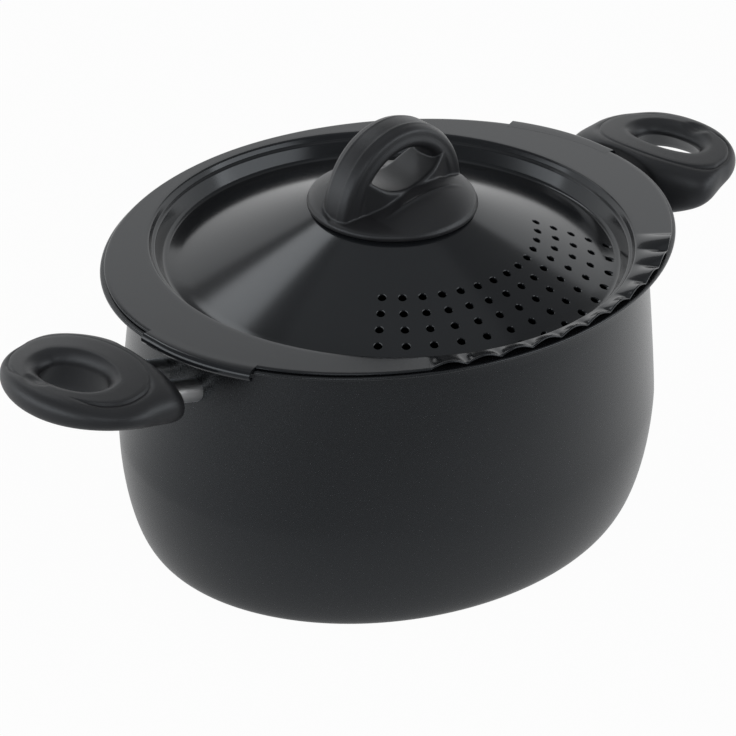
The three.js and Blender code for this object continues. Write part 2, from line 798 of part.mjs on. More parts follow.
const lid = new THREE.Group();
lid.add(mesh("lid_pan", lidPan(), lid_coating));
lid.add(mesh("lid_knob", knob(), soft_grip));
const gasket = ring(screw_hole_radius, knob_seat_radius - gasket_inset, gasket_low, gasket_high);
lid.add(mesh("knob_gasket", solidOf(gasket), black_rubber));
const knob_insert = ring(screw_hole_radius, knob_insert_diameter / 2, insert_low, insert_top);
lid.add(mesh("knob_insert", solidOf(knob_insert), plain_brass));
lid.add(mesh("knob_screw", solidOf(turned(screwProfile())), polished_steel));
const washer = ring(screw_hole_radius, washer_diameter / 2, washer_low, washer_top);
lid.add(mesh("screw_washer", solidOf(washer), polished_steel));

// Each end of the pot carries a grip and its fixings; the left end is the right end turned half round.
function handle(end, turn) {
  const group = new THREE.Group();
  group.rotation.z = turn;
  group.add(mesh(`grip_${end}`, grip(), soft_grip));
  for (const side of fixing_sides) {
    const place = side * Math.cos(turn) < 0 ? "front" : "rear";
    group.add(mesh(`ferrule_${end}_${place}`, ferrule(side), polished_steel));
    group.add(mesh(`stud_${end}_${place}`, stud(side), polished_steel));
    group.add(mesh(`insert_${end}_${place}`, insert(side), plain_brass));
  }
  return group;
}

const pasta_pot = new THREE.Group();
pasta_pot.add(mesh("pot_shell", pot(), coated_metal));
pasta_pot.add(handle("right", 0));
pasta_pot.add(handle("left", Math.PI));
pasta_pot.add(lid);

export default pasta_pot;
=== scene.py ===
import math

import bpy
from mathutils import Matrix, Vector


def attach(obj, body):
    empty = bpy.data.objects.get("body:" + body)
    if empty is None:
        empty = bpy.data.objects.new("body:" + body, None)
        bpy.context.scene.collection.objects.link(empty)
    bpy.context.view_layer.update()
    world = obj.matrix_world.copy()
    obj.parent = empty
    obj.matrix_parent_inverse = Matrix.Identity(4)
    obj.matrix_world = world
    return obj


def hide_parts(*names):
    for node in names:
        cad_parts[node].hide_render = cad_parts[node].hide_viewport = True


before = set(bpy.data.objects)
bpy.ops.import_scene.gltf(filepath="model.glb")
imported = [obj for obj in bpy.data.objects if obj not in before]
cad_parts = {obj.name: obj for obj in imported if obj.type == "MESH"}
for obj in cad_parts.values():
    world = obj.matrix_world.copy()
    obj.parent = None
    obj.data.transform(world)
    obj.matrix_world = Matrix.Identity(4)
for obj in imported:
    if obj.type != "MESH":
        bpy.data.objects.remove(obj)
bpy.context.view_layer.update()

# Pot shell: one deep-drawn aluminium blank, oval, whose wall leans out to a low belly and turns in to a
# flat base, with the rim turned out flat to carry the lid.
# A satin charcoal non-stick coat is sprayed and baked on, inside and out.
millimetre = 0.001
pot_segments = 224
rim_height = 130
rim_thickness = 1.6
rim_half_length = 134
rim_half_width = 112
rim_power = 1.95
rim_underside = rim_height - rim_thickness
rim_fillet = 2.4
wall_thickness = 2.2
floor_thickness = 3
mouth_half_length = 112
mouth_half_width = 108.6
mouth_round = 1.8
belly_height = 51
belly_half_length = 126.3
belly_half_width = 107.5
belly_power = 1.15
base_turn_in = 13
base_curve_power = 1.8


def lerp(start, end, share):
    return start + (end - start) * share


def smoothstep(low, high, value):
    share = min(1, max(0, (value - low) / (high - low)))
    return share * share * (3 - 2 * share)


def bent(value, power):
    return math.copysign(abs(value) ** power, value)


def turns(count):
    return [2 * math.pi * i / count for i in range(count)]


def oval(half_length, half_width, height, power=2):
    return [
        (half_length * bent(math.cos(a), 2 / power), half_width * bent(math.sin(a), 2 / power), height)
        for a in turns(pot_segments)
    ]


def wall_at(height):
    share = max(0, (height - belly_height) / (rim_underside - belly_height)) ** belly_power
    half_length = lerp(belly_half_length, mouth_half_length, share)
    return half_length, lerp(belly_half_width, mouth_half_width, share)


def side_loops(offset, foot_height, top_height):
    """Loops up the pot's side from its foot to top_height, moved out by offset."""
    loops = []
    for step in range(27):
        angle = math.pi / 2 * (1 - step / 26)
        inward = base_turn_in * (1 - math.cos(angle) ** (2 / base_curve_power)) - offset
        height = lerp(belly_height, foot_height, math.sin(angle) ** (2 / base_curve_power))
        loops.append(oval(belly_half_length - inward, belly_half_width - inward, height))
    for step in range(1, 19):
        height = lerp(belly_height, top_height, step / 18)
        half_length, half_width = wall_at(height)
        loops.append(oval(half_length + offset, half_width + offset, height))
    return loops


def skinned(name, loops, first_pole=None, last_pole=None, wrap=False):
    """A smooth closed piece from loops that run anticlockwise and climb the outside."""
    count = len(loops[0])
    points = [point for loop in loops for point in loop]
    faces = []
    for i in range(len(loops) if wrap else len(loops) - 1):
        here = i * count
        there = (i + 1) % len(loops) * count
        for j in range(count):
            k = (j + 1) % count
            faces.append((here + j, here + k, there + k, there + j))
    if first_pole:
        points.append(first_pole)
        faces += [(len(points) - 1, (j + 1) % count, j) for j in range(count)]
    if last_pole:
        last = (len(loops) - 1) * count
        points.append(last_pole)
        faces += [(len(points) - 1, last + j, last + (j + 1) % count) for j in range(count)]
    mesh = bpy.data.meshes.new(name)
    mesh.from_pydata([Vector(point) * millimetre for point in points], [], faces)
    mesh.polygons.foreach_set("use_smooth", [True] * len(mesh.polygons))
    mesh.update()
    piece = bpy.data.objects.new(name, mesh)
    bpy.context.scene.collection.objects.link(piece)
    return piece


def pot_loops():
    fillet_start = rim_underside - rim_fillet
    loops = side_loops(0, 0, fillet_start)
    half_length, half_width = wall_at(fillet_start)
    for degrees in (22, 45, 68, 90):
        out = rim_fillet * (1 - math.cos(math.radians(degrees)))
        height = fillet_start + rim_fillet * math.sin(math.radians(degrees))
        loops.append(oval(half_length + out, half_width + out, height))
    edge = rim_thickness / 2
    for degrees in range(-90, 91, 30):
        inward = edge * (1 - math.cos(math.radians(degrees)))
        height = rim_underside + edge * (1 + math.sin(math.radians(degrees)))
        loops.append(oval(rim_half_length - inward, rim_half_width - inward, height, rim_power))
    inner_length = mouth_half_length - wall_thickness
    inner_width = mouth_half_width - wall_thickness
    for degrees in range(0, 91, 18):
        out = mouth_round * (1 - math.sin(math.radians(degrees)))
        height = rim_height - mouth_round * (1 - math.cos(math.radians(degrees)))
        loops.append(oval(inner_length + out, inner_width + out, height))
    loops += reversed(side_loops(-wall_thickness, floor_thickness, rim_underside - mouth_round))
    return loops


def new_group(name, kind, inputs, outputs):
    group = bpy.data.node_groups.new(name, kind)
    for socket_name, socket_type, *value in inputs:
        socket = group.interface.new_socket(socket_name, in_out="INPUT", socket_type=socket_type)
        if value:
            socket.default_value = value[0]
    for socket_name, socket_type in outputs:
        group.interface.new_socket(socket_name, in_out="OUTPUT", socket_type=socket_type)
    return group, group.nodes.new("NodeGroupInput"), group.nodes.new("NodeGroupOutput")


def surface_grain():
    """Fine grain for bump and gloss, and a broad mottle for colour, both on Object coordinates."""
    inputs = [("Grain Scale", "NodeSocketFloat", 900.0), ("Mottle Scale", "NodeSocketFloat", 25.0)]
    outputs = [("Grain", "NodeSocketFloat"), ("Mottle", "NodeSocketFloat")]
    group, start, end = new_group("surface_grain", "ShaderNodeTree", inputs, outputs)
    place = group.nodes.new("ShaderNodeTexCoord")
    for label, detail in (("Grain", 2.0), ("Mottle", 5.0)):
        noise = group.nodes.new("ShaderNodeTexNoise")
        noise.inputs["Detail"].default_value = detail
        group.links.new(place.outputs["Object"], noise.inputs["Vector"])
        group.links.new(start.outputs[label + " Scale"], noise.inputs["Scale"])
        group.links.new(noise.outputs["Fac"], end.inputs[label])
    return group


grain_group = surface_grain()
cool_sheen = (0.88, 0.94, 1, 1)
grain_low = 0.3
grain_high = 0.7


def finish(name, dark, light, smooth, rough, grain_scale, grain_depth, metallic=0.0, specular=0.5):
    """A material whose colour follows the mottle, and whose gloss and bump follow the grain."""
    material = bpy.data.materials.new(name)
    material.use_nodes = True
    nodes = material.node_tree.nodes
    links = material.node_tree.links
    shader = nodes["Principled BSDF"]
    shader.inputs["Metallic"].default_value = metallic
    shader.inputs["Specular IOR Level"].default_value = specular
    shader.inputs["Specular Tint"].default_value = cool_sheen
    grain = nodes.new("ShaderNodeGroup")
    grain.node_tree = grain_group
    grain.inputs["Grain Scale"].default_value = grain_scale
    colour = nodes.new("ShaderNodeMix")
    colour.data_type = "RGBA"
    colour.inputs[6].default_value = (*dark, 1)
    colour.inputs[7].default_value = (*light, 1)
    links.new(grain.outputs["Mottle"], colour.inputs[0])
    links.new(colour.outputs[2], shader.inputs["Base Color"])
    gloss = nodes.new("ShaderNodeMapRange")
    gloss.inputs["From Min"].default_value = grain_low
    gloss.inputs["From Max"].default_value = grain_high
    gloss.inputs["To Min"].default_value = smooth
    gloss.inputs["To Max"].default_value = rough
    links.new(grain.outputs["Grain"], gloss.inputs["Value"])
    links.new(gloss.outputs["Result"], shader.inputs["Roughness"])
    bump = nodes.new("ShaderNodeBump")
    bump.inputs["Distance"].default_value = grain_depth * millimetre
    links.new(grain.outputs["Grain"], bump.inputs["Height"])
    links.new(bump.outputs["Normal"], shader.inputs["Normal"])
    return material


pot_coat = finish(
    "pot_coat", (0.005, 0.0055, 0.0065), (0.0075, 0.008, 0.0095), 0.25, 0.30, 1400.0, 0.0015, specular=0.6
)
pot_body = skinned("pot_body", pot_loops(), (0, 0, 0), (0, 0, floor_thickness))
pot_body.data.materials.append(pot_coat)
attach(pot_body, "pot")
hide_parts("pot_shell")

# Ferrules and studs: turned bright steel, two to each grip. A stud goes from a flat rivet head inside the
# pot through the wall and its sleeve, into the grip.
# The tree sets one turned blank on all four fixing lines, which rise outwards from the wall.
fixing_half_spacing = 10.5
fixing_wall_x = 116.7
fixing_height = 103
fixing_rise = math.radians(15)
ferrule_radius = 5.2
ferrule_bore = 3.8
ferrule_start = -1.2
ferrule_end = 30.4
ferrule_edge = 0.3
stud_radius = 2.5
stud_head_radius = 6
stud_head_seat = -3.6
stud_head_thickness = 1.6
stud_end = 39.7
turned_segments = 48


def turned_blank(profile):
    """A piece turned about X from distance and radius pairs that run round its section."""
    return [
        [(along, radius * math.cos(a), radius * math.sin(a)) for a in turns(turned_segments)]
        for along, radius in profile
    ]


def sums(tree, operation, first, second=None):
    """A maths node on two values, each a socket or a number."""
    node = tree.nodes.new("ShaderNodeMath")
    node.operation = operation
    for socket, value in zip(node.inputs, (first, second)):
        if isinstance(value, bpy.types.NodeSocket):
            tree.links.new(value, socket)
        elif value is not None:
            socket.default_value = value
    return node.outputs[0]


def combine(tree, *values):
    node = tree.nodes.new("ShaderNodeCombineXYZ")
    for socket, value in zip(node.inputs, values):
        if isinstance(value, bpy.types.NodeSocket):
            tree.links.new(value, socket)
        else:
            socket.default_value = value
    return node.outputs[0]


def fixing_tree():
    inputs = [
        ("Blank", "NodeSocketGeometry"),
        ("Wall X", "NodeSocketFloat"),
        ("Half Spacing", "NodeSocketFloat"),
        ("Height", "NodeSocketFloat"),
        ("Rise", "NodeSocketFloat"),
        ("Material", "NodeSocketMaterial"),
    ]
    tree, start, end = new_group(
        "on_fixing_lines", "GeometryNodeTree", inputs, [("Geometry", "NodeSocketGeometry")]
    )
    index = tree.nodes.new("GeometryNodeInputIndex").outputs[0]
    side = sums(tree, "SUBTRACT", sums(tree, "MULTIPLY", sums(tree, "MODULO", index, 2), 2), 1)
    far_end = sums(tree, "FLOOR", sums(tree, "DIVIDE", index, 2))
    way = sums(tree, "SUBTRACT", sums(tree, "MULTIPLY", far_end, 2), 1)
    place = combine(
        tree,
        sums(tree, "MULTIPLY", start.outputs["Wall X"], way),
        sums(tree, "MULTIPLY", start.outputs["Half Spacing"], side),
        start.outputs["Height"],
    )
    turn = sums(tree, "MULTIPLY", sums(tree, "SUBTRACT", 1, far_end), math.pi)
    points = tree.nodes.new("GeometryNodePoints")
    points.inputs["Count"].default_value = 4
    tree.links.new(place, points.inputs["Position"])
    laid = tree.nodes.new("GeometryNodeInstanceOnPoints")
    tree.links.new(points.outputs[0], laid.inputs["Points"])
    tree.links.new(start.outputs["Blank"], laid.inputs["Instance"])
    spin = combine(tree, 0, sums(tree, "MULTIPLY", start.outputs["Rise"], -1), turn)
    tree.links.new(spin, laid.inputs["Rotation"])
    real = tree.nodes.new("GeometryNodeRealizeInstances")
    tree.links.new(laid.outputs[0], real.inputs[0])
    coat = tree.nodes.new("GeometryNodeSetMaterial")
    tree.links.new(real.outputs[0], coat.inputs["Geometry"])
    tree.links.new(start.outputs["Material"], coat.inputs["Material"])
    tree.links.new(coat.outputs[0], end.inputs[0])
    return tree


def grown(blank, tree, values, name):
    """Runs a geometry tree on a blank with its named inputs, and keeps the result as a plain mesh."""
    modifier = blank.modifiers.new(tree.name, "NODES")
    modifier.node_group = tree
    for socket in tree.interface.items_tree:
        if socket.in_out == "INPUT" and socket.name in values:
            modifier[socket.identifier] = values[socket.name]
    blank.update_tag()
    bpy.context.view_layer.update()
    graph = bpy.context.evaluated_depsgraph_get()
    made = bpy.data.meshes.new_from_object(blank.evaluated_get(graph))
    made.name = name
    blank.modifiers.remove(modifier)
    blank.data = made
    blank.name = name
    return blank


polished_steel = finish(
    "polished_steel", (0.84, 0.85, 0.86), (0.91, 0.92, 0.93), 0.34, 0.42, 600.0, 0.001, metallic=1.0
)
on_fixing_lines = fixing_tree()
fixing_values = {
    "Wall X": fixing_wall_x * millimetre,
    "Half Spacing": fixing_half_spacing * millimetre,
    "Height": fixing_height * millimetre,
    "Rise": fixing_rise,
    "Material": polished_steel,
}
sleeve_profile = [
    (ferrule_start, ferrule_bore),
    (ferrule_start, ferrule_radius - ferrule_edge),
    (ferrule_start + ferrule_edge, ferrule_radius),
    (ferrule_end - ferrule_edge, ferrule_radius),
    (ferrule_end, ferrule_radius - ferrule_edge),
    (ferrule_end, ferrule_bore),
]
sleeve = skinned("sleeve", turned_blank(sleeve_profile), wrap=True)
ferrules = grown(sleeve, on_fixing_lines, fixing_values, "ferrules")
ferrules.data.set_sharp_from_angle(angle=math.radians(40))
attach(ferrules, "pot")
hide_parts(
    "ferrule_left_front", "ferrule_left_rear", "ferrule_right_front", "ferrule_right_rear"
)

stud_crown = stud_head_seat - stud_head_thickness
stud_profile = [
    (stud_crown, 0.5 * stud_head_radius),
    (stud_crown + 0.15, 0.8 * stud_head_radius),
    (stud_crown + 0.5, 0.95 * stud_head_radius),
    (stud_crown + 1.0, stud_head_radius),
    (stud_head_seat, stud_head_radius),
    (stud_head_seat, stud_radius),
    (stud_end - 0.6, stud_radius),
    (stud_end, stud_radius - 0.6),
]
stud = skinned("stud", turned_blank(stud_profile), (stud_crown, 0, 0), (stud_end, 0, 0))
studs = grown(stud, on_fixing_lines, fixing_values, "studs")
studs.data.set_sharp_from_angle(angle=math.radians(40))
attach(studs, "pot")
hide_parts("stud_left_front", "stud_left_rear", "stud_right_front", "stud_right_rear")

# Grips: injection-moulded soft-touch plastic, a ring round a finger hole at each end of the pot, with its
# tip turned to one side. A low plateau on top has a fine groove at its edge and a thumb dip.
# The root is hollowed to the pot's curve, and hides the brass inserts that the studs screw into.
grip_segments = 240
grip_centre = 166.2
grip_shift = 2.4
grip_turn = math.radians(9.6)
grip_tip_length = 28.9
grip_root_length = 26.2
grip_half_width = 38.2
grip_horn_flare = 9
grip_root_bulge = 5
grip_bulge_power = 8
grip_top_height = 128.35
grip_tilt = math.tan(math.radians(-1.1))
grip_crown = 3.3
grip_keel = 5.6
grip_tip_thickness = 11
grip_root_thickness = 27.4
grip_root_power = 0.52
grip_side_power = 0.81
grip_root_fall = 1.6
root_radius = 142.5
root_edge_round = 0.5
throat_centre = (169.2, -2.7)
throat_half_length = 9.9
throat_half_width = 16
throat_power = 2.3
hole_foot_centre = (171.8, -2.7)
hole_foot_half_length = 12.1
hole_foot_half_width = 20
dish_tip = (6.5, 6.0, 1.6)
dish_root = (4.4, 5.5, 1.5)
plateau_centre = (166.6, -2.8)
plateau_half_length = 20.4
plateau_half_width = 32.5
plateau_power = 2.3
plateau_step = 0.9
groove_width = 0.9
nose_reach = 4.2
nose_level = 0.42
nose_power = 2.3
heel_power = 2.6
thumb_dip_centre = (184.7, -7.5)
thumb_dip_size = (3.4, 6.0)
thumb_dip_depth = 1.3


def grip_outline(angle):
    cosine = math.cos(angle)
    sine = math.sin(angle)
    if cosine >= 0:
        return grip_centre + grip_tip_length * cosine, grip_half_width * sine
    half_width = grip_half_width - grip_horn_flare * cosine
    along = grip_root_length * bent(cosine, grip_root_power) - grip_root_bulge * cosine**grip_bulge_power
    return grip_centre + along, half_width * bent(sine, grip_side_power)


def grip_top(x, y):
    across = grip_crown * (y / grip_half_width) ** 2
    dip_x = (x - thumb_dip_centre[0]) / thumb_dip_size[0]
    dip_y = (y - thumb_dip_centre[1]) / thumb_dip_size[1]
    dip_fall = thumb_dip_depth * (1 - smoothstep(0.2, 1.3, math.hypot(dip_x, dip_y)))
    return grip_top_height + (x - grip_centre) * grip_tilt - across - dip_fall


def grip_underside(x, y):
    share = (grip_centre + grip_tip_length - x) / (grip_tip_length + grip_root_length)
    depth = lerp(grip_tip_thickness, grip_root_thickness, share)
    return grip_top_height - depth + grip_keel * (y / grip_half_width) ** 2


def plateau_edge(hole, outer):
    """How far along the line from the hole to the outline the plateau ends."""
    low, high = 0.02, 1.2
    for _ in range(20):
        middle = (low + high) / 2
        x = abs(lerp(hole[0], outer[0], middle) - plateau_centre[0]) / plateau_half_length
        y = abs(lerp(hole[1], outer[1], middle) - plateau_centre[1]) / plateau_half_width
        low, high = (middle, high) if x**plateau_power + y**plateau_power < 1 else (low, middle)
    return low


def grip_section(angle):
    """Points round one section: up the hole's edge, over the plateau, round the outside and under."""
    cosine = math.cos(angle)
    sine = math.sin(angle)
    tip_share = (1 + cosine) / 2
    root_share = smoothstep(0.42, 0, tip_share)
    throat = (
        throat_centre[0] + throat_half_length * bent(cosine, 2 / throat_power),
        throat_centre[1] + throat_half_width * bent(sine, 2 / throat_power),
    )
    foot = (
        hole_foot_centre[0] + hole_foot_half_length * cosine,
        hole_foot_centre[1] + hole_foot_half_width * sine,
    )
    outer = grip_outline(angle)
    span = math.dist(throat, outer)
    dish_width, dish_depth, dish_power = (lerp(a, b, root_share) for a, b in zip(dish_tip, dish_root))
    dish_width /= span
    groove = groove_width / span
    edge = max(min(plateau_edge(throat, outer), 1 - nose_reach / span), dish_width + 0.2 / span)
    step = plateau_step * (1 - smoothstep(0.8, 0.97, tip_share)) * (1 - 0.6 * root_share)

    def at(share, level, drop):
        x = lerp(throat[0], outer[0], share)
        y = lerp(throat[1], outer[1], share)
        return x, y, lerp(grip_underside(x, y), grip_top(x, y) - drop, level)

    rows = []
    for i in range(11):
        station = 1 - i / 10
        fall = 1 - (1 - station**dish_power) ** (1 / dish_power)
        rows.append(at(dish_width * (1 - station), 1, dish_depth * fall))
    for share in (0.2, 0.4, 0.6, 0.8):
        rows.append(at(lerp(dish_width, edge - 0.5 * groove, share), 1, 0))
    for out, drop in ((-0.3, 0), (0, 0.12), (0.35, 1.3), (0.8, 1.45), (1.3, 1.0)):
        rows.append(at(edge + out * groove, 1, drop * step))
    for i in range(1, 11):
        turn = math.pi / 2 * i / 10
        out = math.sin(turn) ** (2 / nose_power)
        level = lerp(nose_level, 1, math.cos(turn) ** (2 / nose_power))
        rows.append(at(lerp(edge + 1.7 * groove, 1, out), level, step + grip_root_fall * root_share * out))
    heel_start = lerp(0.72, 0.8, tip_share)
    for i in range(1, 9):
        turn = math.pi / 2 * i / 8
        out = math.cos(turn) ** (2 / heel_power)
        rows.append(at(lerp(heel_start, 1, out), nose_level * (1 - math.sin(turn) ** (2 / heel_power)), 0))
    for inset in (0.12, 0.03):
        x = lerp(foot[0], outer[0], inset)
        y = lerp(foot[1], outer[1], inset)
        rows.append((x, y, grip_underside(x, y)))
    under = grip_underside(*foot) + 0.4
    for share in (0, 0.25, 0.5, 0.75, 0.92):
        x = lerp(foot[0], throat[0], share)
        y = lerp(foot[1], throat[1], share)
        rows.append((x, y, lerp(under, rows[0][2], share)))
    return rows


def grip_place(point):
    """Turns a point of the grip into place, and holds it off the cylinder that the root is hollowed to."""
    x = grip_centre + (point[0] - grip_centre) * math.cos(grip_turn) - point[1] * math.sin(grip_turn)
    y = grip_shift + (point[0] - grip_centre) * math.sin(grip_turn) + point[1] * math.cos(grip_turn)
    radius = math.hypot(x, y)
    past = (radius - root_radius) / root_edge_round
    held = root_radius + root_edge_round * (past if past > 20 else math.log1p(math.exp(past)))
    return x * held / radius, y * held / radius, point[2]


def grip_loops():
    sections = [[grip_place(point) for point in grip_section(a)] for a in turns(grip_segments)]
    return [[section[row] for section in sections] for row in reversed(range(len(sections[0])))]


soft_touch = finish(
    "soft_touch", (0.012, 0.012, 0.013), (0.018, 0.018, 0.020), 0.36, 0.48, 2600.0, 0.06, specular=0.55
)
for end, half_turn in (("right", 0), ("left", math.pi)):
    grip = skinned("handle_" + end, grip_loops(), wrap=True)
    grip.data.transform(Matrix.Rotation(half_turn, 4, "Z"))
    grip.data.materials.append(soft_touch)
    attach(grip, "pot")
    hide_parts("grip_" + end)

brass = finish(
    "insert_brass", (0.48, 0.33, 0.12), (0.58, 0.42, 0.17), 0.28, 0.40, 1500.0, 0.01, metallic=1.0
)


def dress(node, material):
    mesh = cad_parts[node].data
    mesh.materials.clear()
    mesh.materials.append(material)


for end in ("left", "right"):
    for place in ("front", "rear"):
        dress(f"insert_{end}_{place}", brass)

# Lid pan: pressed sheet with a flat oval flange on the rim, a round well with a ledge, and a cone. Along
# the drain the flange is fluted and the cone is punched, and two hooks are rolled at the long ends.
# The tree joins the hooks, lifts the flutes and punches the holes.
lid_angles = 760
sheet = 1
flange_underside = rim_height + 0.3
flange_top = flange_underside + sheet
flange_half_length = rim_half_length - 2.2
flange_half_width = rim_half_width - 1
well_radius = 104.8
flange_bend = 1.2
ledge_depth = 2.6
groove_radius = 98.4
groove_height = flange_top - 10
cone_start = 96.4
cone_rise = math.radians(22.7)
cone_slope = math.tan(cone_rise)
seat_radius = 34
screw_hole_radius = 2.8
drain_centre = math.radians(-84.6)
hole_pitch_angle = math.radians(7.715)
hole_columns = 14
hole_rows = 5
hole_first_radius = 94.0
hole_row_pitch = 7.83
hole_radius = 1.7
hole_chamfer = 0.25
wave_count = 11
wave_height = 2.4
wave_inner_share = 0.2
wave_start = drain_centre + (0.5 - wave_count / 2) * hole_pitch_angle
hook_sweep = math.radians(23.5)
hook_lock = math.radians(6)
hook_gap = 0.35
hook_drop = 1
hook_crown = 0.05


def cone_height(radius):
    return groove_height + (cone_start - radius) * cone_slope


def oval_radius(half_length, half_width, angle):
    along = abs(math.cos(angle) / half_length) ** rim_power
    across = abs(math.sin(angle) / half_width) ** rim_power
    return (along + across) ** (-1 / rim_power)


def rounded_run(corners, steps):
    """Points along straight lines between corners, each given as radius, height and corner radius."""
    run = [corners[0][:2]]
    for before, corner, after in zip(corners, corners[1:], corners[2:]):
        here = Vector(corner[:2])
        back = (Vector(before[:2]) - here).normalized()
        ahead = (Vector(after[:2]) - here).normalized()
        half = back.angle(ahead) / 2
        centre = here + (back + ahead).normalized() * corner[2] / math.sin(half)
        start = here + back * corner[2] / math.tan(half) - centre
        end = here + ahead * corner[2] / math.tan(half) - centre
        for step in range(steps + 1):
            run.append(tuple(centre + start.lerp(end, step / steps).normalized() * corner[2]))
    return run + [corners[-1][:2]]


def lid_section():
    """The sheet's top from the flange's flat to the screw hole, as radius and height."""
    seat_height = cone_height(seat_radius)
    well = rounded_run(
        [
            (well_radius + 2.6, flange_top, 0),
            (well_radius + 0.1, flange_top, flange_bend),
            (well_radius - 1.2, flange_top - ledge_depth + 0.1, 0.8),
            (well_radius - 2.6, flange_top - ledge_depth - 0.15, 1.3),
            (groove_radius + 0.2, groove_height + 0.1, 2.5),
            (cone_start - 3, cone_height(cone_start - 3), 0),
        ],
        6,
    )
    cone = [(radius, cone_height(radius)) for radius in range(91, 35, -5)]
    seat = [(seat_radius, seat_height - 0.15), (seat_radius - 1.5, seat_height - 0.05)]
    return well + cone + seat + [(20, seat_height), (screw_hole_radius, seat_height)]


def lid_loops():
    """Loops of the sheet's top from outside in, then of its underside from inside out."""
    section = lid_section()
    angles = [wave_start + a for a in turns(lid_angles)]
    bend = section[0][0]
    loops = []
    waves = []

    def flange_loop(share, inset, height):
        waves.append(lerp(wave_inner_share, 1, share))
        loop = []
        for a in angles:
            outer = oval_radius(flange_half_length, flange_half_width, a) - inset
            reach = lerp(bend, outer, share)
            loop.append((reach * math.cos(a), reach * math.sin(a), height))
        loops.append(loop)

    def round_loop(radius, height, wave):
        waves.append(wave)
        loops.append([(radius * math.cos(a), radius * math.sin(a), height) for a in angles])

    def wave_at(radius):
        return wave_inner_share * smoothstep(well_radius, bend, radius)

    middle = flange_top - sheet / 2
    for degrees in (0, 30, 60, 90):
        round_edge = sheet / 2 * (1 - math.cos(math.radians(degrees)))
        flange_loop(1, round_edge, middle + sheet / 2 * math.sin(math.radians(degrees)))
    for share in (0.93, 0.75, 0.55, 0.35, 0.15):
        flange_loop(share, sheet / 2, flange_top)
    for radius, height in section:
        round_loop(radius, height, wave_at(radius))
    for i in reversed(range(len(section))):
        before = section[max(i - 1, 0)]
        after = section[min(i + 1, len(section) - 1)]
        along = Vector((after[0] - before[0], after[1] - before[1])).normalized()
        if i == len(section) - 1:
            along = Vector((-1, 0))
        radius, height = section[i]
        round_loop(radius - along.y * sheet, height + along.x * sheet, wave_at(radius))
    for share in (0.15, 0.35, 0.55, 0.75, 0.93):
        flange_loop(share, sheet / 2, flange_underside)
    for degrees in (-90, -60, -30):
        round_edge = sheet / 2 * (1 - math.cos(math.radians(degrees)))
        flange_loop(1, round_edge, middle + sheet / 2 * math.sin(math.radians(degrees)))
    return loops, waves


def hook_loops():
    """A strip of the flange carried over the rim's edge and curled in below it."""
    loops = []
    for step in range(37):
        angle = hook_sweep * step / 36
        rim = oval_radius(rim_half_length, rim_half_width, angle)
        locked = oval_radius(rim_half_length, rim_half_width, angle - hook_lock)
        stand = max(rim, locked) + hook_gap
        root = oval_radius(flange_half_length, flange_half_width, angle) - hook_drop
        lip = rim + hook_gap
        lip_top = rim_underside - hook_drop
        crown = flange_top + hook_crown
        bead = (crown - lip_top + sheet) / 2
        bead_radius = stand + sheet - bead
        bead_start = -math.acos((lip - bead_radius) / bead)
        outside = []
        for station in range(17):
            turn = lerp(bead_start, math.pi / 2, station / 16)
            outside.append((bead_radius + bead * math.cos(turn), crown - bead + bead * math.sin(turn)))
        outside += [(root + 0.4, crown - 0.005), (root - 2.4, crown - 0.02)]
        inside = [
            (root - 2, flange_top - 0.6),
            (root, flange_underside),
            (stand - 0.5, flange_underside),
            (stand, flange_underside - 0.5),
            (stand, lip_top + 0.25),
            (stand - 0.25, lip_top),
            (lip, lip_top),
        ]
        loops.append([(r * math.cos(angle), r * math.sin(angle), z) for r, z in outside + inside])
    return loops


def capped(name, loops):
    """A closed strip from open-ended loops, with a flat cut across each end."""
    piece = skinned(name, loops)
    count = len(loops[0])
    mesh = piece.data
    points = [tuple(vertex.co) for vertex in mesh.vertices]
    faces = [tuple(polygon.vertices) for polygon in mesh.polygons]
    last = (len(loops) - 1) * count
    faces += [tuple(reversed(range(count))), tuple(range(last, last + count))]
    mesh.clear_geometry()
    mesh.from_pydata(points, [], faces)
    mesh.polygons.foreach_set("use_smooth", [True] * len(mesh.polygons))
    return piece


